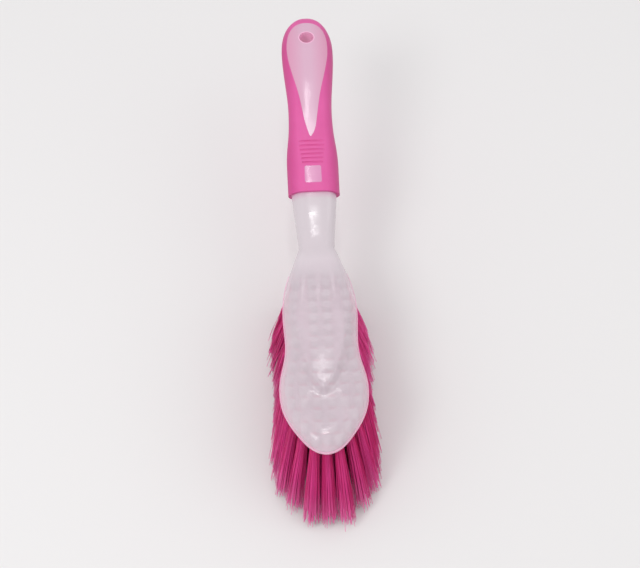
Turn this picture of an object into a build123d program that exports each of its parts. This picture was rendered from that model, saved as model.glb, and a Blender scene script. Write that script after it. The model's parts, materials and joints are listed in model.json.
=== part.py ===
from build123d import *
import os
from math import cos, radians, sin, sqrt

# Hand broom: a clear moulded head, neck and handle core, a soft moulded grip over the core,
# and bristle tufts folded over flat wire anchors in drilled holes.
# +X is across the broom, +Y runs from the head to the handle, +Z is up.
# While it is modelled, Y is zero at the narrow waist of the neck and Z is zero at the
# trimmed bristle tips. The finished part is moved along Y to the middle of its own length.

# Bristles
TRIM_HEIGHT = 47.0            # trimmed tips to the underside of the head
TUFT_LENGTH = 51.0            # longest free length of a strand, before the trim
TRIM_DEPTH = 0.5              # strands are made this much too long and cut flat at the tips
TUFT_HOLE_RADIUS = 2.4
TUFT_CLEARANCE = 0.06         # tuft root to the wall and the floor of its hole
TUFT_HOLE_ROOF = 3.4          # plastic left over a hole where the head is thinnest
TUFT_EDGE = 4.4               # outer tuft centre to the edge of the head
TUFT_INNER = 4.2              # middle line of the head to the inner tufts
TUFT_SPACING = 6.4            # closest that two tufts in a row may stand
TUFT_SPACING_WIDE = 13.0      # a wider space than this in a row takes one more tuft
FRONT_TUFT_EDGE = 5.9         # front tuft row to the front of the head
BACK_TUFT_EDGE = 14.5         # last tuft row to the waist of the neck
TUFT_FAN_FRONT = 27.2         # tips reach this much further forward than the front row
TUFT_FAN_BACK = 3.0           # tips reach this much further back than the last row
TIP_HALF_WIDTH = 27.5         # middle line to the centre of the widest tuft's tip
STRAND_RADIUS = 0.65
STRAND_SIDES = 3
STRAND_TURN = 90.0            # degrees, so that a flat side of each strand faces the handle
STRAND_RING_COUNT = 6         # strands round the middle one
STRAND_RING_ROOT = 1.4        # ring radius where the strands leave the hole
STRAND_RING_TIP = 4.4         # ring radius at the tips
STRAND_SINK = 1.2             # how far a strand is bonded into the root of its tuft

# Each row's tip width, from the neck to the front, as a share of TIP_HALF_WIDTH.
TIP_WIDTH_SHARES = (
    0.56, 0.76, 0.92, 0.99, 0.97, 0.94, 0.92, 0.94, 0.96, 0.98, 1.0, 0.99, 0.94, 0.73, 0.38,
)

# Wire anchors
ANCHOR_THICKNESS = 0.5
ANCHOR_HEIGHT = 2.0
ANCHOR_GAP = 0.9              # anchor to the floor of the hole, filled by the folded tuft
ANCHOR_CLEARANCE = 0.05

# Head
HEAD_LENGTH = 129.9           # front edge to the waist of the neck, without the lip
HEAD_WIDTH = 48.8             # without the lip
HEAD_THICKNESS = 15.6         # underside to the crown of the palm
LOBE_THICKNESS = 9.5          # underside to the top of the front lobe
LIP_WIDTH = 0.6               # thin lip round the foot of the head
LIP_HEIGHT = 1.2
LIP_END_SHARE = 0.91          # end of the lip beside HEAD_LENGTH
LIP_STEPS = 48                # steps of the lip's outline
DISH_DEPTH = 1.3
DISH_REACH = 19.0             # radius of the shallow dish in the front lobe
DISH_SETBACK = 25.5           # middle of the dish to the front edge
PALM_SETBACK = 31.4           # foot of the palm's rounded tip to the front edge
PALM_TIP_RADIUS = 6.6         # of the tip's outline in plan
PALM_STEP_RUN = 4.6           # level run of the step up to the palm, at its tip
PALM_STEP_SPREAD_SHARE = 0.6  # growth of that run beside the distance from the middle
HEAD_POWER = 3.0              # roundness of the head's sections: 2 is an ellipse
ROOT_START_SHARE = 0.89       # where the head's sections start to round into the neck
ROOT_DEPTH_SHARE = 0.92       # depth of the last section beside the neck's at the waist
BASE_SINK = 1.0               # the sections reach this far down before the base is cut flat
SECTION_STEP = 3.2            # distance between the head's sections
TIP_SECTION_STEP = 0.9        # the same along the palm's tip
TIP_LENGTH = 20.0             # stretch of the palm that has the closer sections
DOME_STEPS = 52               # steps across the top of each of the head's sections
OVAL_POINTS = 8               # points round each of the handle's sections

# The head's sections: distance from the front edge as a share of HEAD_LENGTH, half width as
# a share of HEAD_WIDTH / 2, height of the lobe as a share of LOBE_THICKNESS, and height of
# the palm as a share of HEAD_THICKNESS. The last one is inside the neck.
HEAD_SHARES = (
    (0.0006, 0.05, 0.14, 0.78), (0.004, 0.13, 0.33, 0.78), (0.018, 0.285, 0.62, 0.78),
    (0.045, 0.445, 0.85, 0.78), (0.092, 0.635, 0.97, 0.78), (0.155, 0.833, 1.01, 0.78),
    (0.225, 0.962, 1.01, 0.785), (0.291, 1.0, 1.0, 0.815), (0.356, 0.976, 1.0, 0.89),
    (0.418, 0.904, 1.0, 0.94), (0.483, 0.838, 1.0, 0.975), (0.552, 0.826, 1.0, 0.998),
    (0.621, 0.846, 1.0, 1.0), (0.690, 0.856, 1.0, 0.98), (0.759, 0.830, 1.0, 0.925),
    (0.824, 0.766, 1.0, 0.85), (0.885, 0.672, 1.0, 0.775), (0.940, 0.558, 1.0, 0.70),
    (0.975, 0.475, 1.0, 0.65), (1.012, 0.390, 1.0, 0.59),
)

# Neck
NECK_WIDTH = 20.6             # at the waist
NECK_THICKNESS = 9.8
NECK_LIFT = 5.3               # underside of the head to the middle of the waist
NECK_ROOT = 16.0              # how far the neck runs on inside the head
NECK_ROOT_SHARE = 0.68        # size of that inner end beside the waist

# Handle and grip
GRIP_START = 33.5             # waist of the neck to the lower end of the grip
GRIP_LENGTH = 115.5
HANDLE_WIDTH = 30.6
HANDLE_THICKNESS = 16.6
HANDLE_HEIGHT = 12.4          # underside of the head to the middle of the handle's low end
HANDLE_RISE = 21.8            # middle of the handle, from its low end to its highest
HANDLE_POWER = 2.5
GRIP_WALL = 1.7
GRIP_END_WALL = 3.0
GRIP_LEAN = 13.0              # degrees that the grip's lower end leans back

# The neck's sections between the waist (0) and the grip (1): width, thickness and height,
# each going from the waist's value (0) to the handle core's value (1).
NECK_SHARES = ((0.0, 0.0, 0.0, 0.0), (0.24, 0.17, 0.20, 0.07), (0.52, 0.42, 0.48, 0.30),
               (0.82, 0.72, 0.80, 0.70))

# The handle's sections: distance from the grip's lower end as a share of GRIP_LENGTH, half
# width as a share of HANDLE_WIDTH / 2, thickness as a share of HANDLE_THICKNESS, and height
# as a share of HANDLE_RISE.
HANDLE_SHARES = (
    (0.0, 0.987, 1.0, 0.0), (0.06, 0.990, 1.0, 0.075), (0.125, 0.993, 0.99, 0.155),
    (0.19, 0.985, 0.965, 0.25), (0.26, 0.935, 0.94, 0.375), (0.33, 0.870, 0.92, 0.51),
    (0.40, 0.843, 0.905, 0.64), (0.47, 0.850, 0.895, 0.75), (0.55, 0.895, 0.89, 0.85),
    (0.63, 0.950, 0.89, 0.925), (0.715, 0.993, 0.88, 0.975), (0.79, 1.0, 0.865, 1.0),
    (0.865, 0.94, 0.82, 1.0), (0.92, 0.81, 0.735, 0.99), (0.96, 0.62, 0.61, 0.98),
    (0.987, 0.37, 0.42, 0.97), (1.0, 0.14, 0.22, 0.965),
)

# Window in the grip where the clear core shows: distance from its lower tip as a share of
# WINDOW_LENGTH, and half width as a share of WINDOW_WIDTH / 2.
WINDOW_START = 31.5           # lower end of the grip to the lower tip of the window
WINDOW_LENGTH = 77.0
WINDOW_WIDTH = 24.4
WINDOW_SHARES = ((0.0, 0.0), (0.03, 0.13), (0.12, 0.29), (0.25, 0.425), (0.38, 0.59),
                 (0.51, 0.79), (0.61, 0.92), (0.72, 1.0), (0.83, 0.965), (0.92, 0.79),
                 (0.975, 0.49), (1.0, 0.0))

# Bare panel in the grip, also clear core
PANEL_START = 3.3             # lower end of the grip to the panel
PANEL_LENGTH = 10.3
PANEL_WIDTH = 9.8
PANEL_CORNER = 1.0

# Thumb ribs
RIB_START = 15.8              # lower end of the grip to the first groove
RIB_PITCH = 2.55
RIB_COUNT = 6
RIB_GROOVE_RADIUS = 0.6
RIB_LENGTH = 12.2             # the lowest groove
RIB_LENGTH_STEP = 0.55        # each next groove is this much longer

# Hanging hole
HANG_RADIUS = 4.3
HANG_SETBACK = 19.5           # end of the handle to the hole
HANG_BOSS_WALL = 2.0          # clear core left round the hole through the grip

OVERRUN = 5.0                 # how far cutting tools run past what they cut

RIM_Z = TRIM_HEIGHT
FRONT_Y = -HEAD_LENGTH
GRIP_END_Y = GRIP_START + GRIP_LENGTH
HANDLE_Z = RIM_Z + HANDLE_HEIGHT


def between(low, high, share):
    """The value that lies a share of the way from low to high."""
    return low + (high - low) * share


def look_up(table, place, column):
    """A table's column at a place, read along a smooth curve through its entries."""
    last = len(table) - 2
    index = 0
    while index < last and place > table[index + 1][0]:
        index += 1
    before = table[max(index - 1, 0)]
    start = table[index]
    end = table[index + 1]
    after = table[min(index + 2, last + 1)]
    span = end[0] - start[0]
    start_run = (end[column] - before[column]) / (end[0] - before[0]) * span
    end_run = (after[column] - start[column]) / (after[0] - start[0]) * span
    share = (place - start[0]) / span
    rise = end[column] - start[column]
    bend = (start_run - rise) * (1 - share) - (end_run - rise) * share
    return start[column] + rise * share + bend * share * (1 - share)


def smooth_step(share):
    """Rises from 0 to 1 over shares 0 to 1, level and without a bend at both ends."""
    if share <= 0:
        return 0
    if share >= 1:
        return 1
    return share ** 3 * (6 * share ** 2 - 15 * share + 10)


def oval_point(half_width, half_height, angle, power):
    """A point of a rounded oval, at an angle in degrees from its right-hand end."""
    across = abs(cos(radians(angle))) ** (2 / power)
    up = abs(sin(radians(angle))) ** (2 / power)
    return (
        half_width * across * (1 if cos(radians(angle)) >= 0 else -1),
        half_height * up * (1 if sin(radians(angle)) >= 0 else -1),
    )


def section_plane(y, z):
    """An upright plane across the broom, with its own x to the right and its own y up."""
    return Plane(origin=(0, y, z), x_dir=(1, 0, 0), z_dir=(0, -1, 0))


def oval_section(y, z, half_width, half_height, power):
    """A closed oval face across the broom, round (y, z)."""
    angles = [360 * step / OVAL_POINTS for step in range(OVAL_POINTS)]
    points = [oval_point(half_width, half_height, angle, power) for angle in angles]
    outline = Spline(*points, periodic=True)
    return section_plane(y, z) * make_face(outline)


def head_section(distance):
    """The head's section at a distance from its front edge: a domed top over upright sides,
    which rounds into an oval at the neck."""
    share = distance / HEAD_LENGTH
    half_width = look_up(HEAD_SHARES, share, 1) * HEAD_WIDTH / 2
    rounding = smooth_step((share - ROOT_START_SHARE) / (1 - ROOT_START_SHARE))
    widest = between(-BASE_SINK, NECK_LIFT, rounding)
    drop = between(BASE_SINK, ROOT_DEPTH_SHARE * NECK_THICKNESS / 2, rounding)
    shares = [step / DOME_STEPS for step in range(DOME_STEPS + 1)]
    top = []
    base = []
    for across in shares:
        side = sin(radians(between(-90, 90, across)))
        dome = (1 - abs(side) ** HEAD_POWER) ** (1 / HEAD_POWER)
        x = half_width * side
        top.append(Vector(x, widest + dome * (head_height(x, distance) - widest)))
        base.append(Vector(x, widest - dome * drop))
    over = Edge.make_spline(top, parameters=shares)
    under = Edge.make_spline(base, parameters=shares)
    return section_plane(FRONT_Y + distance, RIM_Z) * make_face([over, under])


def head_height(x, distance):
    """Height of the head's top before it is domed: the dished lobe, stepping up to the palm
    along the rounded outline of the palm's tip."""
    share = distance / HEAD_LENGTH
    reach = sqrt(x ** 2 + (distance - DISH_SETBACK) ** 2)
    dish = DISH_DEPTH * (1 - smooth_step(reach / DISH_REACH))
    lobe = look_up(HEAD_SHARES, share, 2) * LOBE_THICKNESS - dish
    palm = look_up(HEAD_SHARES, share, 3) * HEAD_THICKNESS
    inside = distance - PALM_SETBACK - x ** 2 / (2 * PALM_TIP_RADIUS)
    slant = sqrt(1 + (x / PALM_TIP_RADIUS) ** 2)
    run = (PALM_STEP_RUN + PALM_STEP_SPREAD_SHARE * abs(x)) * slant
    return between(lobe, palm, smooth_step(inside / run))


def head_block():
    """The head: front lobe, narrow waist and palm, in one smooth shape."""
    end = HEAD_SHARES[-1][0] * HEAD_LENGTH
    tip_end = PALM_SETBACK + TIP_LENGTH
    front = [row[0] * HEAD_LENGTH for row in HEAD_SHARES if row[0] * HEAD_LENGTH < SECTION_STEP]
    distances = front
    for start, finish, step in (
        (SECTION_STEP, PALM_SETBACK, SECTION_STEP), (PALM_SETBACK, tip_end, TIP_SECTION_STEP),
        (tip_end, end, SECTION_STEP),
    ):
        count = round((finish - start) / step)
        distances += [between(start, finish, place / count) for place in range(count)]
    shape = loft([head_section(distance) for distance in distances + [end]])
    below = Box(
        HEAD_WIDTH + 2 * OVERRUN, 2 * (HEAD_LENGTH + OVERRUN), OVERRUN,
        align=(Align.CENTER, Align.CENTER, Align.MAX),
    )
    return shape - Pos(0, 0, RIM_Z) * below


def head_half_width(y):
    """Half the width of the head at y."""
    return look_up(HEAD_SHARES, (y - FRONT_Y) / HEAD_LENGTH, 1) * HEAD_WIDTH / 2


def head_lip():
    """The thin lip round the foot of the head."""
    rows = [row for row in HEAD_SHARES if row[0] < LIP_END_SHARE]
    right = [(row[1] * HEAD_WIDTH / 2, FRONT_Y + row[0] * HEAD_LENGTH) for row in rows]
    left = [(-x, y) for x, y in reversed(right)]
    foot = Spline(*left, *right)
    points = []
    for step in range(LIP_STEPS + 1):
        outwards = (foot % (step / LIP_STEPS)).rotate(Axis.Z, -90)
        points.append(foot @ (step / LIP_STEPS) + outwards * LIP_WIDTH)
    outline = make_face(Spline(*points) + Line(points[-1], points[0]))
    return extrude(Pos(0, 0, RIM_Z) * outline, amount=LIP_HEIGHT)


def handle_place(y, column):
    """A column of the handle's table at y."""
    return look_up(HANDLE_SHARES, (y - GRIP_START) / GRIP_LENGTH, column)


def handle_z(y):
    """Height of the middle of the handle at y."""
    return HANDLE_Z + handle_place(y, 3) * HANDLE_RISE


def handle_top(y):
    """Height of the handle's top at y, on the middle line."""
    return handle_z(y) + handle_place(y, 2) * HANDLE_THICKNESS / 2


def handle_sections(length, half_width, half_height):
    """The handle's ovals for a given length and largest half width and half height."""
    return [
        oval_section(
            GRIP_START + share * length,
            HANDLE_Z + height_share * HANDLE_RISE,
            width_share * half_width,
            thickness_share * half_height,
            HANDLE_POWER,
        )
        for share, width_share, thickness_share, height_share in HANDLE_SHARES
    ]


def handle_outside():
    """The outer shape of the handle, run on below the grip's lower end so it can be cut."""
    sections = handle_sections(GRIP_LENGTH, HANDLE_WIDTH / 2, HANDLE_THICKNESS / 2)
    first = HANDLE_SHARES[0]
    second = HANDLE_SHARES[1]
    drop = (second[3] - first[3]) * HANDLE_RISE / ((second[0] - first[0]) * GRIP_LENGTH)
    stub = oval_section(
        GRIP_START - OVERRUN,
        HANDLE_Z - drop * OVERRUN,
        first[1] * HANDLE_WIDTH / 2,
        first[2] * HANDLE_THICKNESS / 2,
        HANDLE_POWER,
    )
    return loft([stub] + sections)


def neck_and_core():
    """The neck from inside the head, run on as the core inside the grip."""
    core_half_width = HANDLE_WIDTH / 2 - GRIP_WALL
    core_half_height = HANDLE_THICKNESS / 2 - GRIP_WALL
    waist_z = RIM_Z + NECK_LIFT
    core = handle_sections(GRIP_LENGTH - GRIP_END_WALL, core_half_width, core_half_height)
    root = oval_section(
        -NECK_ROOT,
        waist_z,
        NECK_ROOT_SHARE * NECK_WIDTH / 2,
        NECK_ROOT_SHARE * NECK_THICKNESS / 2,
        HANDLE_POWER,
    )
    neck = [
        oval_section(
            share * GRIP_START,
            between(waist_z, HANDLE_Z, height_share),
            between(NECK_WIDTH / 2, core_half_width, width_share),
            between(NECK_THICKNESS / 2, core_half_height, thickness_share),
            HANDLE_POWER,
        )
        for share, width_share, thickness_share, height_share in NECK_SHARES
    ]
    return loft([root] + neck + core[1:])


def upper_half():
    """Everything above the middle of the handle, to keep window cuts out of the underside."""
    table_start = (GRIP_START - OVERRUN, handle_z(GRIP_START))
    middle = [(GRIP_START + row[0] * GRIP_LENGTH, HANDLE_Z + row[3] * HANDLE_RISE)
              for row in HANDLE_SHARES]
    sky = HANDLE_Z + HANDLE_RISE + HANDLE_THICKNESS
    corners = [table_start] + middle
    corners += [(GRIP_END_Y + OVERRUN, handle_z(GRIP_END_Y))]
    corners += [(GRIP_END_Y + OVERRUN, sky), (GRIP_START - OVERRUN, sky)]
    face = Plane.YZ * make_face(Polyline(*corners, close=True))
    return extrude(face, amount=HANDLE_WIDTH, both=True)


def upright(outline, top=HANDLE_Z + HANDLE_RISE + HANDLE_THICKNESS):
    """An outline in plan, run straight up past the handle."""
    return extrude(Pos(0, 0, RIM_Z) * outline, amount=top - RIM_Z)


def window_outline():
    """The teardrop window in plan."""
    start = GRIP_START + WINDOW_START
    right = [(width_share * WINDOW_WIDTH / 2, start + share * WINDOW_LENGTH)
             for share, width_share in WINDOW_SHARES]
    left = [(-x, y) for x, y in reversed(right[1:-1])]
    return make_face(Spline(*right, *left, periodic=True))


def panel_outline():
    """The bare panel in plan."""
    middle = GRIP_START + PANEL_START + PANEL_LENGTH / 2
    return Pos(0, middle) * RectangleRounded(PANEL_WIDTH, PANEL_LENGTH, PANEL_CORNER)


def hang_post(radius):
    """An upright post of the given radius on the axis of the hanging hole."""
    return upright(Pos(0, GRIP_END_Y - HANG_SETBACK) * Circle(radius))


def grip_end_tool():
    """A block that ends at the leaning lower end of the grip and covers all in front of it."""
    size = GRIP_LENGTH
    return (Pos(0, GRIP_START, HANDLE_Z) * Rot(GRIP_LEAN, 0, 0)
            * Box(size, size, size, align=(Align.CENTER, Align.MAX, Align.CENTER)))


def rib_grooves():
    """Round grooves across the thumb rest."""
    grooves = []
    for index in range(RIB_COUNT):
        y = GRIP_START + RIB_START + index * RIB_PITCH
        length = RIB_LENGTH + index * RIB_LENGTH_STEP
        groove = Pos(0, y, handle_top(y)) * Rot(0, 90, 0) * Cylinder(RIB_GROOVE_RADIUS, length)
        grooves.append(groove)
    return grooves


def row_places(half_width):
    """Where the tufts of a row stand across the head, from left to right."""
    outer = half_width - TUFT_EDGE
    if outer < TUFT_SPACING / 2:
        return [0.0]
    if outer < TUFT_SPACING:
        return [-outer, outer]
    if outer - TUFT_INNER < TUFT_SPACING:
        return [-outer, 0.0, outer]
    right = [TUFT_INNER, outer]
    if outer - TUFT_INNER > TUFT_SPACING_WIDE:
        right = [TUFT_INNER, (TUFT_INNER + outer) / 2, outer]
    return [-x for x in reversed(right)] + right


def tuft_rows():
    """For each row from the neck to the front, pairs of a tuft's root and its tip centre."""
    back_y = -BACK_TUFT_EDGE
    front_y = FRONT_Y + FRONT_TUFT_EDGE
    rows = []
    for index, width_share in enumerate(TIP_WIDTH_SHARES):
        share = index / (len(TIP_WIDTH_SHARES) - 1)
        root_y = between(back_y, front_y, share)
        tip_y = between(back_y + TUFT_FAN_BACK, front_y - TUFT_FAN_FRONT, share)
        places = row_places(head_half_width(root_y))
        fan = 1.0
        if places[-1] > 0:
            fan = width_share * TIP_HALF_WIDTH / places[-1]
        rows.append([
            (Vector(x, root_y, RIM_Z), Vector(x * fan, tip_y, 0)) for x in places
        ])
    return rows


def tuft_axis_plane(root, tip):
    """A plane at the hole's mouth, looking into the hole along the tuft's axis."""
    into = (root - tip).normalized()
    return Plane(origin=root, x_dir=Vector(0, 1, 0).cross(into), z_dir=into)


def hole_depth():
    """Depth of a tuft hole along its own axis."""
    return LOBE_THICKNESS - TUFT_HOLE_ROOF


def tuft_hole(root, tip):
    """The cutter of one drilled tuft hole, run on out of its mouth."""
    mouth = tuft_axis_plane(root, tip)
    start = mouth.offset(-OVERRUN)
    return Solid.make_cylinder(TUFT_HOLE_RADIUS, hole_depth() + OVERRUN, start)


def anchor_plate(root, tip, clearance=0.0):
    """A flat wire anchor across its hole, or the slot for it in the folded tuft."""
    reach = TUFT_HOLE_RADIUS - ANCHOR_CLEARANCE
    width = 2 * sqrt(reach ** 2 - (ANCHOR_THICKNESS / 2) ** 2)
    middle = hole_depth() - ANCHOR_GAP - ANCHOR_HEIGHT / 2
    plate = Box(
        width + 2 * clearance,
        ANCHOR_THICKNESS + 2 * clearance,
        ANCHOR_HEIGHT + 2 * clearance,
    )
    return tuft_axis_plane(root, tip).location * Pos(0, 0, middle) * plate


def strand_between(start, finish):
    """A straight strand of constant section whose ends are level."""
    face = Pos(*start) * RegularPolygon(STRAND_RADIUS, STRAND_SIDES, rotation=STRAND_TURN)
    return Solid.extrude(face.face(), finish - start)


def tuft(root, tip):
    """One tuft: a root that fills its hole, slotted for the anchor, and its strands."""
    mouth = tuft_axis_plane(root, tip)
    plug = Solid.make_cylinder(
        TUFT_HOLE_RADIUS - TUFT_CLEARANCE, hole_depth() - TUFT_CLEARANCE, mouth
    )
    rings = [Vector(0, 0, 0)]
    for index in range(STRAND_RING_COUNT):
        angle = radians(360 * index / STRAND_RING_COUNT)
        rings.append(Vector(cos(angle), sin(angle), 0))
    strands = []
    for ring in rings:
        mouth_point = root + ring * STRAND_RING_ROOT
        floor_point = tip + ring * STRAND_RING_TIP
        run = floor_point - mouth_point
        share = min(1 + TRIM_DEPTH / TRIM_HEIGHT, TUFT_LENGTH / run.length)
        start = mouth_point - run * (STRAND_SINK / TRIM_HEIGHT)
        strands.append(strand_between(start, mouth_point + run * share))
    bundle = plug.fuse(*strands)
    floor = Pos(tip.X, tip.Y, 0) * Box(
        HEAD_WIDTH, HEAD_WIDTH, 2 * TRIM_DEPTH, align=(Align.CENTER, Align.CENTER, Align.MAX)
    )
    slot = anchor_plate(root, tip, ANCHOR_CLEARANCE)
    return bundle - floor - slot


def brush_body(holes):
    """The clear moulding: head, palm, neck and handle core in one piece."""
    outside = handle_outside()
    beyond_end = outside - grip_end_tool()
    show_through = upright(window_outline()) + upright(panel_outline())
    flush = beyond_end & show_through & upper_half()
    boss = outside & hang_post(HANG_RADIUS + HANG_BOSS_WALL)
    body = head_block() + head_lip() + neck_and_core()
    body = body + flush + boss
    body = body - hang_post(HANG_RADIUS)
    return body.cut(*holes)


def soft_grip(body):
    """The soft moulding over the handle core."""
    grip = handle_outside() - grip_end_tool()
    grip = grip - hang_post(HANG_RADIUS) - body
    return grip.cut(*rib_grooves())


def build():
    """Every node of the broom, by name."""
    rows = tuft_rows()
    tufts = [pair for row in rows for pair in row]
    body = brush_body([tuft_hole(root, tip) for root, tip in tufts])
    nodes = {"brush_body": body, "soft_grip": soft_grip(body)}
    for number, row in enumerate(rows, start=1):
        solids = [tuft(root, tip) for root, tip in row]
        nodes[f"tuft_row_{number:02d}"] = Compound(children=solids)
    anchors = [anchor_plate(root, tip) for root, tip in tufts]
    nodes["tuft_anchors"] = Compound(children=anchors)
    return nodes


def export(nodes):
    """Write each node about the middle of the broom's length."""
    box = Compound(children=[Compound(node.solids()) for node in nodes.values()]).bounding_box()
    shift = Pos(0, -box.center().Y, 0)
    os.makedirs("parts", exist_ok=True)
    for name, node in nodes.items():
        solids = [shift * solid for solid in node.solids()]
        export_step(Compound(children=solids), f"parts/{name}.step")
    print("length", round(box.size.Y, 2), "width", round(box.size.X, 2))
    print("height", round(box.size.Z, 2), "moved along Y by", round(-box.center().Y, 3))


export(build())
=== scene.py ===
import json
import math

import bmesh
import bpy
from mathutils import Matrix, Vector


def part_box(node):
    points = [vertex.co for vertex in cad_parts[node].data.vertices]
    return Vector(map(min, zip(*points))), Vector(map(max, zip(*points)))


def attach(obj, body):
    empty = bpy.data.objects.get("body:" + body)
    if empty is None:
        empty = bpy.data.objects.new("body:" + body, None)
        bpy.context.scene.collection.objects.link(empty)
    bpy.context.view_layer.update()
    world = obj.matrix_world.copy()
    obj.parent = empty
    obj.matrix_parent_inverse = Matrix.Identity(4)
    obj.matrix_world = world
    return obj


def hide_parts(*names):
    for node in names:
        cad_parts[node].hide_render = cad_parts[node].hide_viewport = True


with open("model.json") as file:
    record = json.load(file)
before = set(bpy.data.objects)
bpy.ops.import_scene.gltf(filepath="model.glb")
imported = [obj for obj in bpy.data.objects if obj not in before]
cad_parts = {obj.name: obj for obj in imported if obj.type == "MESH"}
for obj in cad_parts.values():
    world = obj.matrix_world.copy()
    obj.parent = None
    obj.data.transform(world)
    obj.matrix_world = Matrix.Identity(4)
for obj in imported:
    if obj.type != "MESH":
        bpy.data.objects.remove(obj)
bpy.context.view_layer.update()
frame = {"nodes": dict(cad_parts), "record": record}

bl_info = {
    "name": "Hand broom",
    "version": (1, 0, 0),
    "blender": (4, 5, 0),
    "location": "3D View > Sidebar > Broom",
    "description": "Dresses the hand broom: clear body, soft grip, fanned bristle tufts and stage",
    "category": "Object",
}

MM = 0.001
ROW_NAMES = sorted(name for name in frame["nodes"] if name.startswith("tuft_row"))
HOLE = frame["record"]["mounts"][0]
HOLE_RADIUS = HOLE["dims"]["r_mm"] * MM
# Band round the hanging hole over which the painted light on its wall fades out.
HOLE_GLOW_RANGE = (HOLE_RADIUS + 0.1 * MM, HOLE_RADIUS + 0.8 * MM)

# Heights and places along the broom, in metres.
RIM_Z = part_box("brush_body")[0][2]
# The painted glow on the head's thin lip fades out over this height.
LIP_GLOW_RANGE = (RIM_Z + 1.4 * MM, RIM_Z + 2.0 * MM)
GRIP_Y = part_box("soft_grip")[0][1]
NECK_RANGE = (-30.0 * MM, 0.0)
REAR_HOLE_RANGE = (-26.0 * MM, -8.0 * MM)
GRIP_END_RANGE = (GRIP_Y - 3.0 * MM, GRIP_Y + 5.0 * MM)
PANEL_END_RANGE = (GRIP_Y + 14.0 * MM, GRIP_Y + 20.0 * MM)

# Distances from the middle line of the handle.
CORE_EDGE_RANGE = (2.0 * MM, 12.0 * MM)
# The painted shade on the grip's sides grows over this band.
GRIP_SIDE_SHADE_RANGE = (8.0 * MM, 15.0 * MM)

# Share of the clarity that is left in the neck and the core.
CORE_CLARITY_SHARE = 0.2

# Points closer than this are one point.
WELD = 0.002 * MM

# Lengths of a CAD tuft that show where it starts in its hole and where its tips end.
ROOT_REACH = 2.6 * MM
TIP_REACH = 5.0 * MM

# Points along a filament, and its flat sides.
FILAMENT_POINTS = 9
FILAMENT_SIDES = 3


def linear_colour(code):
    """An sRGB hex colour such as #C83C7D as linear red, green and blue."""
    parts = [int(code[place:place + 2], 16) / 255 for place in (1, 3, 5)]
    return tuple(
        part / 12.92 if part <= 0.04045 else ((part + 0.055) / 1.055) ** 2.4 for part in parts
    )


def find_socket(sockets, key):
    """A socket by its number, or by its name among those in use."""
    if isinstance(key, int):
        return sockets[key]
    return next(socket for socket in sockets if socket.name == key and socket.enabled)


def add_node(tree, kind, inputs=None, **settings):
    """Adds a node with its settings. Each input is a value, or a link as (node, output)."""
    node = tree.nodes.new(kind)
    for name, value in settings.items():
        setattr(node, name, value)
    for key, given in (inputs or {}).items():
        socket = find_socket(node.inputs, key)
        if isinstance(given, tuple) and isinstance(given[0], bpy.types.Node):
            tree.links.new(find_socket(given[0].outputs, given[1]), socket)
        else:
            socket.default_value = given
    return node


def start_material(name):
    """An empty material, its node tree and its output node."""
    material = bpy.data.materials.new(name)
    material.use_nodes = True
    tree = material.node_tree
    tree.nodes.clear()
    return material, tree, tree.nodes.new("ShaderNodeOutputMaterial")


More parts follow.
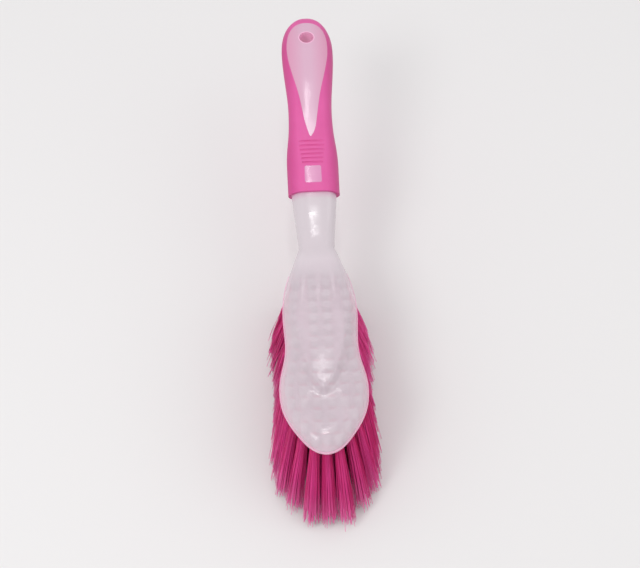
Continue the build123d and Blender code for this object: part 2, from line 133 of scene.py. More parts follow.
def frosted_polypropylene(settings):
    """Polypropylene random copolymer, injection moulded without pigment. To the eye it is milky
    and see-through at once: the tufts and the coloured grip show in it as soft tints, its skin is
    smooth with small sharp highlights, and its thin rim is painted lighter, a painted glow."""
    material, tree, output = start_material("Clear polypropylene, moulded")
    place = add_node(tree, "ShaderNodeTexCoord")
    split = add_node(tree, "ShaderNodeSeparateXYZ", {"Vector": (place, "Object")})
    # Flow clouding of the moulding, about 9 mm from cloud to cloud.
    clouds = add_node(tree, "ShaderNodeTexNoise", {
        "Vector": (place, "Object"), "Scale": 110.0, "Detail": 3.0, "Roughness": 0.55,
    })
    milk = add_node(tree, "ShaderNodeMix", {
        "Factor": (clouds, "Fac"), "A": (*linear_colour("#E2D3DC"), 1),
        "B": (*linear_colour("#EFE5EB"), 1),
    }, data_type="RGBA")
    # The thick neck is greyer than the thin head.
    thick = add_node(tree, "ShaderNodeMapRange", {
        "Value": (split, "Y"), "From Min": NECK_RANGE[0], "From Max": NECK_RANGE[1],
    })
    greyer = add_node(tree, "ShaderNodeMix", {
        "Factor": (thick, "Result"), "A": (milk, "Result"), "B": (*linear_colour("#D5CBD0"), 1),
    }, data_type="RGBA")
    # Inside the grip the core carries the grip's colour, the more so towards its edges.
    within = add_node(tree, "ShaderNodeMapRange", {
        "Value": (split, "Y"), "From Min": GRIP_END_RANGE[0], "From Max": GRIP_END_RANGE[1],
    })
    sideways = add_node(tree, "ShaderNodeMath", {0: (split, "X")}, operation="ABSOLUTE")
    edge = add_node(tree, "ShaderNodeMapRange", {
        "Value": (sideways, 0), "From Min": CORE_EDGE_RANGE[0], "From Max": CORE_EDGE_RANGE[1],
    })
    pink = add_node(tree, "ShaderNodeMix", {
        "Factor": (edge, "Result"), "A": (*linear_colour("#DDB2C9"), 1),
        "B": (*linear_colour("#DD99B8"), 1),
    }, data_type="RGBA")
    # The small panel low on the grip is deeper pink, as the grip closes in round it.
    panel = add_node(tree, "ShaderNodeMapRange", {
        "Value": (split, "Y"), "From Min": PANEL_END_RANGE[0], "From Max": PANEL_END_RANGE[1],
        "To Min": 1.0, "To Max": 0.0,
    })
    deeper = add_node(tree, "ShaderNodeMix", {
        "Factor": (panel, "Result"), "A": (pink, "Result"), "B": (*linear_colour("#D98FB9"), 1),
    }, data_type="RGBA")
    cored = add_node(tree, "ShaderNodeMix", {
        "Factor": (within, "Result"), "A": (greyer, "Result"), "B": (deeper, "Result"),
    }, data_type="RGBA")
    # Light spreads so far in the thick neck and core that little passes straight through.
    cover = add_node(tree, "ShaderNodeMapRange", {
        "Value": (split, "Y"), "From Min": REAR_HOLE_RANGE[0], "From Max": REAR_HOLE_RANGE[1],
        "To Min": 1 - settings.clarity, "To Max": 1 - CORE_CLARITY_SHARE * settings.clarity,
    })
    # Painted light: the wall of the hanging hole is painted a light pink, standing for the light
    # that comes to it from the core all round.
    level = add_node(tree, "ShaderNodeVectorMath", {
        0: (place, "Object"), 1: (1.0, 1.0, 0.0),
    }, operation="MULTIPLY")
    reach = add_node(tree, "ShaderNodeVectorMath", {
        0: (level, "Vector"), 1: (HOLE["pos_m"][0], HOLE["pos_m"][1], 0.0),
    }, operation="DISTANCE")
    hole_glow_mask = add_node(tree, "ShaderNodeMapRange", {
        "Value": (reach, "Value"), "From Min": HOLE_GLOW_RANGE[0],
        "From Max": HOLE_GLOW_RANGE[1], "To Min": 1.0, "To Max": 0.0,
    })
    bored = add_node(tree, "ShaderNodeMix", {
        "Factor": (hole_glow_mask, "Result"), "A": (cored, "Result"), "B": (*linear_colour("#FFC4E2"), 1),
    }, data_type="RGBA")
    # The lip round the foot of the head carries the bristles' pink and is painted lighter, a
    # painted glow of its thin edge.
    lip_glow_mask = add_node(tree, "ShaderNodeMapRange", {
        "Value": (split, "Z"), "From Min": LIP_GLOW_RANGE[0], "From Max": LIP_GLOW_RANGE[1],
        "To Min": 1.0, "To Max": 0.0,
    })
    tint = add_node(tree, "ShaderNodeMix", {
        "Factor": (lip_glow_mask, "Result"), "A": (bored, "Result"), "B": (*linear_colour("#FFD4E9"), 1),
    }, data_type="RGBA")
    frost = add_node(tree, "ShaderNodeMapRange", {
        "Value": (clouds, "Fac"), "To Min": 0.14, "To Max": 0.20,
    })
    # Faint waviness of a moulded skin, about 1.5 mm from crest to crest.
    skin = add_node(tree, "ShaderNodeTexNoise", {
        "Vector": (place, "Object"), "Scale": 650.0, "Detail": 2.0,
    })
    bump = add_node(tree, "ShaderNodeBump", {
        "Height": (skin, "Fac"), "Strength": 0.02, "Distance": 0.02 * MM,
    })
    surface = add_node(tree, "ShaderNodeBsdfPrincipled", {
        "Base Color": (tint, "Result"), "Roughness": (frost, "Result"),
        "Normal": (bump, "Normal"), "IOR": 1.49, "Alpha": (cover, "Result"),
        "Coat Weight": 0.35, "Coat Roughness": 0.12,
    })
    tree.links.new(surface.outputs["BSDF"], output.inputs["Surface"])
    return material


def soft_touch_elastomer(settings):
    """Styrenic thermoplastic elastomer, moulded over the core. To the eye it is saturated pink
    with a broad silky sheen and no sharp highlight; its colour carries painted shade, darker
    towards its sides."""
    material, tree, output = start_material("Soft-touch elastomer, overmoulded")
    place = add_node(tree, "ShaderNodeTexCoord")
    # Slow change of shade in the moulding, about 12 mm from patch to patch.
    patches = add_node(tree, "ShaderNodeTexNoise", {
        "Vector": (place, "Object"), "Scale": 80.0, "Detail": 2.0,
    })
    shade = add_node(tree, "ShaderNodeMix", {
        "Factor": (patches, "Fac"), "A": (*settings.shadow_colour, 1), "B": (*settings.colour, 1),
    }, data_type="RGBA")
    # Painted shade: the colour darkens towards the grip's sides, where its round section turns
    # away from the light.
    split = add_node(tree, "ShaderNodeSeparateXYZ", {"Vector": (place, "Object")})
    sideways = add_node(tree, "ShaderNodeMath", {0: (split, "X")}, operation="ABSOLUTE")
    sides = add_node(tree, "ShaderNodeMapRange", {
        "Value": (sideways, 0), "From Min": GRIP_SIDE_SHADE_RANGE[0], "From Max": GRIP_SIDE_SHADE_RANGE[1],
    })
    tint = add_node(tree, "ShaderNodeMix", {
        "Factor": (sides, "Result"), "A": (shade, "Result"), "B": (*settings.side_shade_colour, 1),
    }, data_type="RGBA")
    # Matt grain of the mould, real grains of about 0.1 mm, drawn at 0.4 mm so that it shows.
    grain = add_node(tree, "ShaderNodeTexNoise", {
        "Vector": (place, "Object"), "Scale": 2500.0, "Detail": 2.0,
    })
    bump = add_node(tree, "ShaderNodeBump", {
        "Height": (grain, "Fac"), "Strength": 0.25, "Distance": 0.02 * MM,
    })
    sheen = add_node(tree, "ShaderNodeMapRange", {
        "Value": (patches, "Fac"), "To Min": 0.40, "To Max": 0.50,
    })
    surface = add_node(tree, "ShaderNodeBsdfPrincipled", {
        "Base Color": (tint, "Result"), "Roughness": (sheen, "Result"),
        "Normal": (bump, "Normal"), "IOR": 1.48, "Subsurface Weight": 0.15,
        "Subsurface Radius": (1.0, 0.35, 0.6), "Subsurface Scale": 1.5 * MM,
    })
    tree.links.new(surface.outputs["BSDF"], output.inputs["Surface"])
    return material


def drawn_filament(settings):
    """Polyester bristle, drawn as a monofilament and dyed in the melt. To the eye each filament
    has its own shade, a thin streak of light along it and a paler split end. Its colour also
    carries painted shade: it is darker on the flanks of each tuft, and darker crimson, a painted
    shadow, where it leaves the head."""
    material, tree, output = start_material("Polyester filament, drawn")
    shade = add_node(tree, "ShaderNodeAttribute", attribute_name="shade")
    along = add_node(tree, "ShaderNodeAttribute", attribute_name="along")
    # The shade attribute mixes each filament's random tone with painted shade on its tuft's
    # flanks.
    between = add_node(tree, "ShaderNodeMix", {
        "Factor": (shade, "Fac"), "A": (*settings.dark_colour, 1),
        "B": (*settings.light_colour, 1),
    }, data_type="RGBA")
    # Painted shadow: the filaments darken to the root colour near the head, where the tufts shade
    # one another.
    root_shade_mask = add_node(tree, "ShaderNodeMapRange", {
        "Value": (along, "Fac"), "From Min": 0.05, "From Max": 0.5, "To Min": 0.5, "To Max": 0.0,
    })
    deep = add_node(tree, "ShaderNodeMix", {
        "Factor": (root_shade_mask, "Result"), "A": (between, "Result"), "B": (*settings.root_shade_colour, 1),
    }, data_type="RGBA")
    ends = add_node(tree, "ShaderNodeMapRange", {
        "Value": (along, "Fac"), "From Min": 0.68, "From Max": 1.0, "To Max": 0.55,
    })
    colour = add_node(tree, "ShaderNodeMix", {
        "Factor": (ends, "Result"), "A": (deep, "Result"), "B": (*settings.end_colour, 1),
    }, data_type="RGBA")
    surface = add_node(tree, "ShaderNodeBsdfPrincipled", {
        "Base Color": (colour, "Result"), "IOR": 1.57, "Roughness": 0.36,
        "Specular Tint": (1.0, 0.75, 0.88, 1.0), "Specular IOR Level": 0.2,
    })
    tree.links.new(surface.outputs["BSDF"], output.inputs["Surface"])
    return material


def drawn_wire(settings):
    """Galvanised steel wire, drawn and rolled flat. To the eye it is light grey metal with
    fine lines along it."""
    material, tree, output = start_material("Galvanised steel wire, drawn")
    place = add_node(tree, "ShaderNodeTexCoord")
    # Drawing lines along the wire, about 0.15 mm apart.
    stretch = add_node(tree, "ShaderNodeMapping", {
        "Vector": (place, "Object"), "Scale": (200.0, 6600.0, 6600.0),
    })
    lines = add_node(tree, "ShaderNodeTexNoise", {
        "Vector": (stretch, "Vector"), "Scale": 1.0, "Detail": 2.0,
    })
    polish = add_node(tree, "ShaderNodeMapRange", {
        "Value": (lines, "Fac"), "To Min": 0.28, "To Max": 0.45,
    })
    surface = add_node(tree, "ShaderNodeBsdfPrincipled", {
        "Base Color": (*settings.wire_colour, 1), "Metallic": 1.0,
        "Roughness": (polish, "Result"),
    })
    tree.links.new(surface.outputs["BSDF"], output.inputs["Surface"])
    return material


def studio_paper(settings):
    """Matt background paper, coated. To the eye it is an even pale floor."""
    material, tree, output = start_material("Background paper, matt")
    place = add_node(tree, "ShaderNodeTexCoord")
    # Fibre clouding of the sheet, about 30 mm from cloud to cloud.
    fibres = add_node(tree, "ShaderNodeTexNoise", {
        "Vector": (place, "Object"), "Scale": 30.0, "Detail": 4.0,
    })
    matt = add_node(tree, "ShaderNodeMapRange", {
        "Value": (fibres, "Fac"), "To Min": 0.80, "To Max": 0.90,
    })
    surface = add_node(tree, "ShaderNodeBsdfPrincipled", {
        "Base Color": (*settings.floor_colour, 1), "Specular IOR Level": 0.2,
        "Roughness": (matt, "Result"),
    })
    tree.links.new(surface.outputs["BSDF"], output.inputs["Surface"])
    return material


def merged_copy(node_name, piece_name, crease):
    """A copy of a CAD node with its loose triangles joined and its round faces smooth.
    Edges that turn more than the crease angle stay sharp."""
    mesh = frame["nodes"][node_name].data.copy()
    shell = bmesh.new()
    shell.from_mesh(mesh)
    bmesh.ops.remove_doubles(shell, verts=shell.verts, dist=WELD)
    bmesh.ops.dissolve_degenerate(shell, edges=shell.edges, dist=WELD)
    shell.to_mesh(mesh)
    shell.free()
    mesh.name = piece_name
    if "custom_normal" in mesh.attributes:
        mesh.attributes.remove(mesh.attributes["custom_normal"])
    mesh.shade_smooth()
    mesh.set_sharp_from_angle(angle=crease)
    piece = bpy.data.objects.new(piece_name, mesh)
    bpy.context.scene.collection.objects.link(piece)
    return piece


def dress(piece, material, slot, *nodes):
    """Gives a finished piece its material, hangs it under the root body and hides the CAD nodes
    that it stands for.
    """
    piece.data.materials.clear()
    piece.data.materials.append(material)
    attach(piece, "root")
    if nodes:
        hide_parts(*nodes)


def islands(node_name):
    """The separate solids of a CAD node, each as a list of its points."""
    shell = bmesh.new()
    shell.from_mesh(frame["nodes"][node_name].data)
    bmesh.ops.remove_doubles(shell, verts=shell.verts, dist=WELD)
    seen = set()
    groups = []
    for start in shell.verts:
        if start in seen:
            continue
        seen.add(start)
        group = [start]
        for vertex in group:
            for edge in vertex.link_edges:
                other = edge.other_vert(vertex)
                if other not in seen:
                    seen.add(other)
                    group.append(other)
        groups.append([vertex.co.copy() for vertex in group])
    shell.free()
    return groups


def middle(points):
    """The middle of the box round some points."""
    low = [min(point[axis] for point in points) for axis in range(3)]
    high = [max(point[axis] for point in points) for axis in range(3)]
    return Vector((low[axis] + high[axis]) / 2 for axis in range(3))


def tuft_ends(points):
    """Where a CAD tuft starts inside its hole, leaves the head and ends at its tips."""
    top = max(point.z for point in points)
    bottom = min(point.z for point in points)
    root = middle([point for point in points if point.z > top - ROOT_REACH])
    tip = middle([point for point in points if point.z < bottom + TIP_REACH])
    share = (root.z - RIM_Z) / (root.z - tip.z)
    tip.z = bottom
    return root, root.lerp(tip, share), tip


def tuft_seed(row_name):
    """One point for each tuft of a row, holding its mouth and its tip as attributes."""
    ends = [tuft_ends(points) for points in islands(row_name)]
    ends.sort(key=lambda end: end[0].x)
    mesh = bpy.data.meshes.new(f"{row_name}_seed")
    mesh.from_pydata([root for root, mouth, tip in ends], [], [])
    mouths = mesh.attributes.new("mouth", "FLOAT_VECTOR", "POINT")
    tips = mesh.attributes.new("tip", "FLOAT_VECTOR", "POINT")
    for index, (root, mouth, tip) in enumerate(ends):
        mouths.data[index].vector = mouth
        tips.data[index].vector = tip
    seed = bpy.data.objects.new(f"{row_name}_filaments", mesh)
    bpy.context.scene.collection.objects.link(seed)
    return seed


def bristle_sockets(tree):
    """The named inputs and the output of the bristle tree, and its two end nodes."""
    sockets = tree.interface
    sockets.new_socket("Geometry", in_out="INPUT", socket_type="NodeSocketGeometry")
    for name, kind in (
        ("Filaments in a tuft", "NodeSocketInt"), ("Filament radius", "NodeSocketFloat"),
        ("Bundle radius in the hole", "NodeSocketFloat"),
        ("Bundle radius at the tips", "NodeSocketFloat"), ("Outward swing", "NodeSocketFloat"),
        ("Ragged ends", "NodeSocketFloat"), ("Stray", "NodeSocketFloat"),
        ("Lowest height", "NodeSocketFloat"), ("Seed", "NodeSocketInt"),
    ):
        sockets.new_socket(name, in_out="INPUT", socket_type=kind)
    sockets.new_socket("Geometry", in_out="OUTPUT", socket_type="NodeSocketGeometry")
    return tree.nodes.new("NodeGroupInput"), tree.nodes.new("NodeGroupOutput")


def packed_points(tree, given):
    """Copies each tuft's point once for each filament, and stores on every copy its place in the
    round bundle, its shade (a random tone mixed with painted shade on the tuft's flanks), its
    stray, how short it is and its root."""
    points = add_node(tree, "GeometryNodeMeshToPoints", {"Mesh": (given, "Geometry")})
    tuft_number = add_node(tree, "GeometryNodeInputIndex")
    numbered = add_node(tree, "GeometryNodeStoreNamedAttribute", {
        "Geometry": (points, "Points"), "Name": "tuft", "Value": (tuft_number, "Index"),
    }, data_type="INT", domain="POINT")
    copies = add_node(tree, "GeometryNodeDuplicateElements", {
        "Geometry": (numbered, "Geometry"), "Amount": (given, "Filaments in a tuft"),
    }, domain="POINT")

    # Even spiral packing inside the round bundle, turned by a different amount in each tuft.
    tuft = add_node(
        tree, "GeometryNodeInputNamedAttribute", {"Name": "tuft"}, data_type="INT"
    )
    turn = add_node(tree, "FunctionNodeRandomValue", {
        "Max": 2 * math.pi, "ID": (tuft, "Attribute"), "Seed": (given, "Seed"),
    }, data_type="FLOAT")
    ordinal = add_node(tree, "ShaderNodeMath", {
        0: (copies, "Duplicate Index"), 1: 0.5,
    }, operation="ADD")
    share = add_node(tree, "ShaderNodeMath", {
        0: (ordinal, 0), 1: (given, "Filaments in a tuft"),
    }, operation="DIVIDE")
    reach = add_node(tree, "ShaderNodeMath", {0: (share, 0)}, operation="SQRT")
    angle = add_node(tree, "ShaderNodeMath", {
        0: (ordinal, 0), 1: math.pi * (3 - math.sqrt(5)), 2: (turn, "Value"),
    }, operation="MULTIPLY_ADD")
    cosine = add_node(tree, "ShaderNodeMath", {0: (angle, 0)}, operation="COSINE")
    sine = add_node(tree, "ShaderNodeMath", {0: (angle, 0)}, operation="SINE")
    unit = add_node(tree, "ShaderNodeCombineXYZ", {"X": (cosine, 0), "Y": (sine, 0)})
    offset = add_node(tree, "ShaderNodeVectorMath", {
        0: (unit, "Vector"), "Scale": (reach, 0),
    }, operation="SCALE")

    filament = add_node(tree, "GeometryNodeInputIndex")
    shade = add_node(tree, "FunctionNodeRandomValue", {
        "ID": (filament, "Index"), "Seed": (given, "Seed"),
    }, data_type="FLOAT")
    # Painted shade: a tuft's flanks, to both sides of its lean, are darker than its middle, as a
    # round bundle is shaded; this is mixed with each filament's random tone.
    tip, mouth = (add_node(
        tree, "GeometryNodeInputNamedAttribute", {"Name": name}, data_type="FLOAT_VECTOR"
    ) for name in ("tip", "mouth"))
    lean = add_node(tree, "ShaderNodeVectorMath", {
        0: (tip, "Attribute"), 1: (mouth, "Attribute"),
    }, operation="SUBTRACT")
    across = add_node(tree, "ShaderNodeVectorMath", {
        0: (lean, "Vector"), 1: (0.0, 0.0, 1.0),
    }, operation="CROSS_PRODUCT")
    sideways = add_node(tree, "ShaderNodeVectorMath", {
        0: (across, "Vector"),
    }, operation="NORMALIZE")
    flank = add_node(tree, "ShaderNodeVectorMath", {
        0: (sideways, "Vector"), 1: (offset, "Vector"),
    }, operation="DOT_PRODUCT")
    far = add_node(tree, "ShaderNodeMath", {0: (flank, "Value")}, operation="ABSOLUTE")
    painted_bundle_light = add_node(tree, "ShaderNodeMath", {0: 1.0, 1: (far, 0)}, operation="SUBTRACT")
    lit = add_node(tree, "ShaderNodeMix", {
        "Factor": 0.6, "A": (shade, "Value"), "B": (painted_bundle_light, 0),
    }, data_type="FLOAT")
    direction = add_node(tree, "FunctionNodeRandomValue", {
        "Min": (-1.0, -1.0, 0.0), "Max": (1.0, 1.0, 0.0), "ID": (filament, "Index"),
        "Seed": (given, "Seed"),
    }, data_type="FLOAT_VECTOR")
    later_seed = add_node(tree, "ShaderNodeMath", {
        0: (given, "Seed"), 1: 7.0,
    }, operation="ADD")
    shorter = add_node(tree, "FunctionNodeRandomValue", {
        "ID": (filament, "Index"), "Seed": (later_seed, 0),
    }, data_type="FLOAT")
    # A few filaments stray far and most hardly at all.
    rarely = add_node(tree, "ShaderNodeMath", {0: (shade, "Value"), 1: 12.0}, operation="POWER")
    wildness = add_node(tree, "ShaderNodeMath", {
        0: (rarely, 0), 1: 3.0, 2: 0.8,
    }, operation="MULTIPLY_ADD")
    stray = add_node(tree, "ShaderNodeVectorMath", {
        0: (direction, "Value"), "Scale": (wildness, 0),
    }, operation="SCALE")
    root = add_node(tree, "GeometryNodeInputPosition")

    stored = (copies, "Geometry")
    for name, kind, value in (
        ("offset", "FLOAT_VECTOR", (offset, "Vector")), ("shade", "FLOAT", (lit, "Result")),
        ("stray", "FLOAT_VECTOR", (stray, "Vector")), ("shorter", "FLOAT", (shorter, "Value")),
        ("root", "FLOAT_VECTOR", (root, "Position")),
    ):
        store = add_node(tree, "GeometryNodeStoreNamedAttribute", {
            "Geometry": stored, "Name": name, "Value": value,
        }, data_type=kind)
        stored = (store, "Geometry")
    return stored


def filament_path(tree, given, factor):
    """The place on a filament's path at a factor along it. The path leaves the hole, swings
    outwards and ends at the tips, blended smoothly between four points."""
    known = {
        name: (add_node(
            tree, "GeometryNodeInputNamedAttribute", {"Name": name}, data_type="FLOAT_VECTOR"
        ), "Attribute")
        for name in ("root", "mouth", "tip", "offset", "stray")
    }
    inner = add_node(tree, "ShaderNodeVectorMath", {
        0: known["offset"], "Scale": (given, "Bundle radius in the hole"),
    }, operation="SCALE")
    outer = add_node(tree, "ShaderNodeVectorMath", {
        0: known["offset"], "Scale": (given, "Bundle radius at the tips"),
    }, operation="SCALE")
    wander = add_node(tree, "ShaderNodeVectorMath", {
        0: known["stray"], "Scale": (given, "Stray"),
    }, operation="SCALE")
    start = add_node(tree, "ShaderNodeVectorMath", {
        0: known["root"], 1: (inner, "Vector"),
    }, operation="ADD")
    leaving = add_node(tree, "ShaderNodeVectorMath", {
        0: known["mouth"], 1: (inner, "Vector"),
    }, operation="ADD")
    fanned = add_node(tree, "ShaderNodeVectorMath", {
        0: known["tip"], 1: (outer, "Vector"),
    }, operation="ADD")
    end = add_node(tree, "ShaderNodeVectorMath", {
        0: (fanned, "Vector"), 1: (wander, "Vector"),
    }, operation="ADD")
    # The middle of the free length is pushed outwards by a share of the tuft's own lean.
    lean = add_node(tree, "ShaderNodeVectorMath", {
        0: (end, "Vector"), 1: (leaving, "Vector"),
    }, operation="SUBTRACT")
    level = add_node(tree, "ShaderNodeVectorMath", {
        0: (lean, "Vector"), 1: (1.0, 1.0, 0.0),
    }, operation="MULTIPLY")
    swing = add_node(tree, "ShaderNodeVectorMath", {
        0: (level, "Vector"), "Scale": (given, "Outward swing"),
    }, operation="SCALE")
    halfway = add_node(tree, "ShaderNodeMix", {
        "Factor": 0.5, "A": (leaving, "Vector"), "B": (end, "Vector"),
    }, data_type="VECTOR")
    bowed = add_node(tree, "ShaderNodeVectorMath", {
        0: (halfway, "Result"), 1: (swing, "Vector"),
    }, operation="ADD")

    path = [(start, "Vector"), (leaving, "Vector"), (bowed, "Vector"), (end, "Vector")]
    while len(path) > 1:
        path = [
            (add_node(
                tree, "ShaderNodeMix", {"Factor": factor, "A": low, "B": high},
                data_type="VECTOR",
            ), "Result")
            for low, high in zip(path, path[1:])
        ]
    return path[0]


def bristle_tree(material):
    """Geometry nodes that turn each tuft's point into a fan of filaments."""
    tree = bpy.data.node_groups.new("Fanned bristle tufts", "GeometryNodeTree")
    given, result = bristle_sockets(tree)
    # One short line for each filament, bent to its own path once it is real.
    line = add_node(tree, "GeometryNodeCurvePrimitiveLine", {"End": (0.0, 0.0, 0.01)})
    pieces = add_node(tree, "GeometryNodeResampleCurve", {
        "Curve": (line, "Curve"), "Count": FILAMENT_POINTS,
    })
    placed = add_node(tree, "GeometryNodeInstanceOnPoints", {
        "Points": packed_points(tree, given), "Instance": (pieces, "Curve"),
    })
    real = add_node(tree, "GeometryNodeRealizeInstances", {"Geometry": (placed, "Instances")})

    whole = add_node(tree, "GeometryNodeSplineParameter")
    shorter = add_node(
        tree, "GeometryNodeInputNamedAttribute", {"Name": "shorter"}, data_type="FLOAT"
    )
    cut = add_node(tree, "ShaderNodeMath", {
        0: (shorter, "Attribute"), 1: (given, "Ragged ends"),
    }, operation="MULTIPLY")
    length = add_node(tree, "ShaderNodeMath", {0: 1.0, 1: (cut, 0)}, operation="SUBTRACT")
    factor = add_node(tree, "ShaderNodeMath", {
        0: (whole, "Factor"), 1: (length, 0),
    }, operation="MULTIPLY")
    parts = add_node(tree, "ShaderNodeSeparateXYZ", {
        "Vector": filament_path(tree, given, (factor, 0)),
    })
    above = add_node(tree, "ShaderNodeMath", {
        0: (parts, "Z"), 1: (given, "Lowest height"),
    }, operation="MAXIMUM")
    target = add_node(tree, "ShaderNodeCombineXYZ", {
        "X": (parts, "X"), "Y": (parts, "Y"), "Z": (above, 0),
    })
    bent = add_node(tree, "GeometryNodeSetPosition", {
        "Geometry": (real, "Geometry"), "Position": (target, "Vector"),
    })
    measured = add_node(tree, "GeometryNodeStoreNamedAttribute", {
        "Geometry": (bent, "Geometry"), "Name": "along", "Value": (whole, "Factor"),
    }, data_type="FLOAT")
    outline = add_node(tree, "GeometryNodeCurvePrimitiveCircle", {
        "Resolution": FILAMENT_SIDES, "Radius": (given, "Filament radius"),
    })
    tubes = add_node(tree, "GeometryNodeCurveToMesh", {
        "Curve": (measured, "Geometry"), "Profile Curve": (outline, "Curve"), "Fill Caps": True,
    })
    solid = add_node(tree, "GeometryNodeRealizeInstances", {"Geometry": (tubes, "Mesh")})
    dyed = add_node(tree, "GeometryNodeSetMaterial", {
        "Geometry": (solid, "Geometry"), "Material": material,
    })
    tree.links.new(dyed.outputs["Geometry"], result.inputs["Geometry"])
    return tree


def set_inputs(modifier, tree, values):
    """Sets a modifier's inputs by the names of the tree's sockets."""
    for item in tree.interface.items_tree:
        if item.in_out == "INPUT" and item.name in values:
            modifier[item.identifier] = values[item.name]


def plain_mesh(source, name):
    """The finished shape of an object with modifiers as a plain mesh object."""
    graph = bpy.context.evaluated_depsgraph_get()
    mesh = bpy.data.meshes.new_from_object(
        source.evaluated_get(graph), preserve_all_data_layers=True, depsgraph=graph
    )
    mesh.name = name
    source.modifiers.clear()
    bpy.data.objects.remove(source)
    piece = bpy.data.objects.new(name, mesh)
    bpy.context.scene.collection.objects.link(piece)
    return piece


class BroomBodySettings(bpy.types.PropertyGroup):
    """Looks of the two mouldings and the wire anchors."""

    clarity: bpy.props.FloatProperty(
        name="Clarity", description="Share of the light that passes straight through the body",
        default=0.38, min=0.0, max=1.0, subtype="FACTOR",
    )
    colour: bpy.props.FloatVectorProperty(
        name="Grip colour", description="Colour of the soft grip", subtype="COLOR",
        default=linear_colour("#E05FA5"), min=0.0, max=1.0,
    )
    shadow_colour: bpy.props.FloatVectorProperty(
        name="Grip patches", description="Deeper colour in the grip's patches", subtype="COLOR",
        default=linear_colour("#D25296"), min=0.0, max=1.0,
    )
    # Painted shade: the grip's colour darkens to this towards its sides.
    side_shade_colour: bpy.props.FloatVectorProperty(
        name="Grip side shade", description="Colour towards the grip's sides", subtype="COLOR",
        default=linear_colour("#C23C82"), min=0.0, max=1.0,
    )
    wire_colour: bpy.props.FloatVectorProperty(
        name="Anchor colour", description="Colour of the wire anchors", subtype="COLOR",
        default=linear_colour("#B8BABD"), min=0.0, max=1.0,
    )
    crease: bpy.props.FloatProperty(
        name="Crease angle", description="Edges that turn more than this stay sharp",
        default=math.radians(32), subtype="ANGLE",
    )


class BroomBristleSettings(bpy.types.PropertyGroup):
    """Sizes and colours of the bristles."""

    count: bpy.props.IntProperty(
        name="Filaments in a tuft", description="Filaments in each tuft", default=170, min=1,
    )
    radius: bpy.props.FloatProperty(
        name="Filament radius", description="Half the thickness of a filament",
        default=0.16 * MM, unit="LENGTH", precision=5,
    )
    hole_spread: bpy.props.FloatProperty(
        name="Bundle in the hole", description="Radius of the bundle where it leaves the head",
        default=2.3 * MM, unit="LENGTH", precision=5,
    )
    tip_spread: bpy.props.FloatProperty(
        name="Bundle at the tips", description="Radius of the bundle at its tips",
        default=4.9 * MM, unit="LENGTH", precision=5,
    )
    swing: bpy.props.FloatProperty(
        name="Outward swing", description="How far the middle bows out, as a share of the lean",
        default=0.16, subtype="FACTOR",
    )
    ragged: bpy.props.FloatProperty(
        name="Ragged ends", description="Most that a filament is short, as a share of its length",
        default=0.17, subtype="FACTOR",
    )
    stray: bpy.props.FloatProperty(
        name="Stray", description="How far a tip wanders from its place in the bundle",
        default=1.0 * MM, unit="LENGTH", precision=5,
    )
    seed: bpy.props.IntProperty(
        name="Seed", description="Start of the random numbers", default=11,
    )
    # Painted shadow: the filaments take this colour where they leave the head.
    root_shade_colour: bpy.props.FloatVectorProperty(
        name="Root shade", description="Colour where the filaments leave the head",
        subtype="COLOR", default=linear_colour("#C41850"), min=0.0, max=1.0,
    )
    dark_colour: bpy.props.FloatVectorProperty(
        name="Darker filaments", description="Colour of the darkest filaments",
        subtype="COLOR", default=linear_colour("#CE1A66"), min=0.0, max=1.0,
    )
    light_colour: bpy.props.FloatVectorProperty(
        name="Lighter filaments", description="Colour of the lightest filaments",
        subtype="COLOR", default=linear_colour("#FF58B0"), min=0.0, max=1.0,
    )
    end_colour: bpy.props.FloatVectorProperty(
        name="Split ends", description="Colour of the filaments' split ends",
        subtype="COLOR", default=linear_colour("#FF8CCE"), min=0.0, max=1.0,
    )


class BroomStageSettings(bpy.types.PropertyGroup):
    """Floor, light and camera."""

    floor_colour: bpy.props.FloatVectorProperty(
        name="Floor colour", description="Colour of the background paper", subtype="COLOR",
        default=linear_colour("#E6E5E4"), min=0.0, max=1.0,
    )
    floor_size: bpy.props.FloatProperty(
        name="Floor size", description="Width of the floor", default=6.0, unit="LENGTH",
    )
    sky: bpy.props.FloatProperty(
        name="Sky", description="Strength of the even light from all round", default=0.84,
    )
    camera_place: bpy.props.FloatVectorProperty(
        name="Camera place", description="Where the camera stands", subtype="TRANSLATION",
        default=(-0.017, -0.5975, 0.9695), unit="LENGTH",
    )
    camera_aim: bpy.props.FloatVectorProperty(
        name="Camera aim", description="The point that the camera looks at",
        subtype="TRANSLATION", default=(0.001, -0.017, 0.045), unit="LENGTH",
    )
    camera_roll: bpy.props.FloatProperty(
        name="Camera roll", description="Turn of the camera about its own axis",
        default=math.radians(-1.0), subtype="ANGLE",
    )
    lens: bpy.props.FloatProperty(
        name="Lens", description="Focal length on a 36 mm wide sensor", default=106.0,
        unit="CAMERA",
    )


class BROOM_OT_clear_body(bpy.types.Operator):
    """Dresses the clear moulding of head, neck and handle core"""

    bl_idname = "broom.clear_body"
    bl_label = "Clear body"

    def execute(self, context):
        settings = context.scene.broom_body
        piece = merged_copy("brush_body", "Clear_body", settings.crease)
        dress(piece, frosted_polypropylene(settings), "clear_plastic", "brush_body")
        return {"FINISHED"}


class BROOM_OT_soft_grip(bpy.types.Operator):
    """Dresses the soft moulding over the handle core"""

    bl_idname = "broom.soft_grip"
    bl_label = "Soft grip"

    def execute(self, context):
        settings = context.scene.broom_body
        piece = merged_copy("soft_grip", "Soft_grip", settings.crease)
        dress(piece, soft_touch_elastomer(settings), "soft_grip", "soft_grip")
        return {"FINISHED"}


class BROOM_OT_anchors(bpy.types.Operator):
    """Dresses the wire anchors in the tuft holes"""

    bl_idname = "broom.anchors"
    bl_label = "Wire anchors"

    def execute(self, context):
        node = frame["nodes"]["tuft_anchors"]
        node.data.materials.clear()
        node.data.materials.append(drawn_wire(context.scene.broom_body))
        return {"FINISHED"}


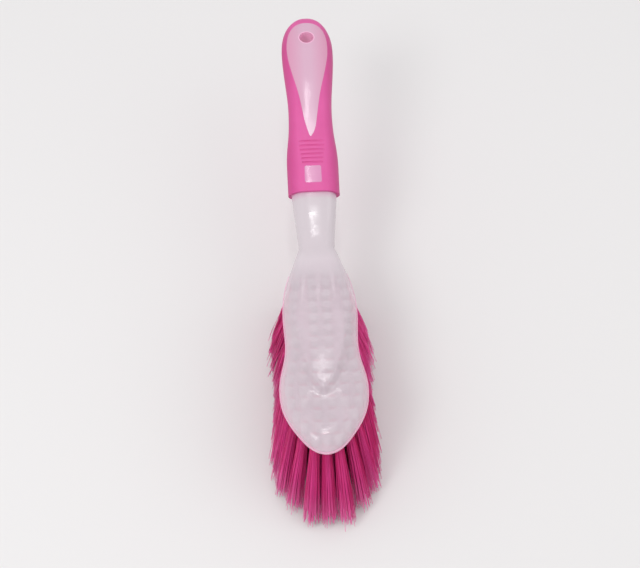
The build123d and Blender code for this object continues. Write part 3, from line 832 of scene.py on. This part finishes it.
class BROOM_OT_bristles(bpy.types.Operator):
    """Makes the filaments of every tuft row"""

    bl_idname = "broom.bristles"
    bl_label = "Bristles"

    def execute(self, context):
        settings = context.scene.broom_bristles
        material = drawn_filament(settings)
        tree = bristle_tree(material)
        for number, row_name in enumerate(ROW_NAMES):
            seed = tuft_seed(row_name)
            modifier = seed.modifiers.new("Filaments", "NODES")
            modifier.node_group = tree
            set_inputs(modifier, tree, {
                "Filaments in a tuft": settings.count,
                "Filament radius": settings.radius,
                "Bundle radius in the hole": settings.hole_spread,
                "Bundle radius at the tips": settings.tip_spread,
                "Outward swing": settings.swing,
                "Ragged ends": settings.ragged,
                "Stray": settings.stray,
                "Lowest height": settings.radius,
                "Seed": settings.seed + number,
            })
            piece = plain_mesh(seed, f"Tuft_row_{number + 1:02d}")
            if not piece.data.polygons:
                raise RuntimeError(f"{row_name} has no filaments")
            piece.data.shade_smooth()
            dress(piece, material, "bristle", row_name)
        return {"FINISHED"}


class BROOM_OT_stage(bpy.types.Operator):
    """Makes the floor, the lights and the camera"""

    bl_idname = "broom.stage"
    bl_label = "Stage"

    def execute(self, context):
        settings = context.scene.broom_stage
        scene = context.scene
        scene.view_settings.view_transform = "Standard"
        half = settings.floor_size / 2
        mesh = bpy.data.meshes.new("Floor")
        mesh.from_pydata(
            [(-half, -half, 0), (half, -half, 0), (half, half, 0), (-half, half, 0)], [],
            [(0, 1, 2, 3)],
        )
        mesh.materials.append(studio_paper(settings))
        floor = bpy.data.objects.new("Floor", mesh)
        scene.collection.objects.link(floor)

        world = bpy.data.worlds.new("Studio")
        world.use_nodes = True
        sky = world.node_tree.nodes["Background"]
        sky.inputs["Color"].default_value = (*linear_colour("#FBFAFC"), 1)
        sky.inputs["Strength"].default_value = settings.sky
        scene.world = world

        for name, place, aim, size, power in (
            ("Overhead softbox", (-0.01, 0.02, 1.3), (0.0, 0.02, 0.05), (0.03, 0.12), 0.55),
            ("Strip softbox", (0.01, 0.24, 1.3), (0.0, 0.05, 0.05), (0.04, 0.32), 0.6),
            ("Key softbox", (-0.7, -0.5, 1.1), (0.0, 0.0, 0.03), (0.5, 0.5), 4.2),
            ("Fill softbox", (0.9, -0.2, 0.9), (0.0, 0.0, 0.03), (0.8, 0.8), 1.2),
        ):
            lamp = bpy.data.lights.new(name, "AREA")
            lamp.shape = "RECTANGLE"
            lamp.size, lamp.size_y = size
            lamp.energy = power
            lit = bpy.data.objects.new(name, lamp)
            lit.location = place
            heading = Vector(aim) - Vector(place)
            lit.rotation_euler = heading.to_track_quat("-Z", "Y").to_euler()
            scene.collection.objects.link(lit)

        camera = bpy.data.objects.new("Camera", bpy.data.cameras.new("Camera"))
        camera.data.lens = settings.lens
        camera.data.sensor_width = 36.0
        camera.location = settings.camera_place
        heading = Vector(settings.camera_aim) - Vector(settings.camera_place)
        camera.rotation_euler = heading.to_track_quat("-Z", "Y").to_euler()
        camera.rotation_euler.rotate_axis("Z", settings.camera_roll)
        scene.collection.objects.link(camera)
        scene.camera = camera
        return {"FINISHED"}


class BROOM_PT_panel(bpy.types.Panel):
    """Lists the broom's settings and the steps that make it"""

    bl_idname = "BROOM_PT_panel"
    bl_label = "Hand broom"
    bl_space_type = "VIEW_3D"
    bl_region_type = "UI"
    bl_category = "Broom"

    def draw(self, context):
        for group, operators in (
            (context.scene.broom_body, ("broom.clear_body", "broom.soft_grip", "broom.anchors")),
            (context.scene.broom_bristles, ("broom.bristles",)),
            (context.scene.broom_stage, ("broom.stage",)),
        ):
            box = self.layout.box()
            for name in group.__annotations__:
                box.prop(group, name)
            for operator in operators:
                box.operator(operator)


GROUPS = {
    "broom_body": BroomBodySettings,
    "broom_bristles": BroomBristleSettings,
    "broom_stage": BroomStageSettings,
}
OPERATORS = (
    BROOM_OT_clear_body, BROOM_OT_soft_grip, BROOM_OT_anchors, BROOM_OT_bristles,
    BROOM_OT_stage,
)


def register():
    for name, group in GROUPS.items():
        bpy.utils.register_class(group)
        setattr(bpy.types.Scene, name, bpy.props.PointerProperty(type=group))
    for item in (*OPERATORS, BROOM_PT_panel):
        bpy.utils.register_class(item)


def unregister():
    for item in (BROOM_PT_panel, *reversed(OPERATORS)):
        bpy.utils.unregister_class(item)
    for name, group in GROUPS.items():
        delattr(bpy.types.Scene, name)
        bpy.utils.unregister_class(group)


def main():
    """Makes the whole broom and its stage."""
    register()
    bpy.ops.broom.clear_body()
    bpy.ops.broom.soft_grip()
    bpy.ops.broom.anchors()
    bpy.ops.broom.bristles()
    bpy.ops.broom.stage()


if __name__ == "__main__":
    main()
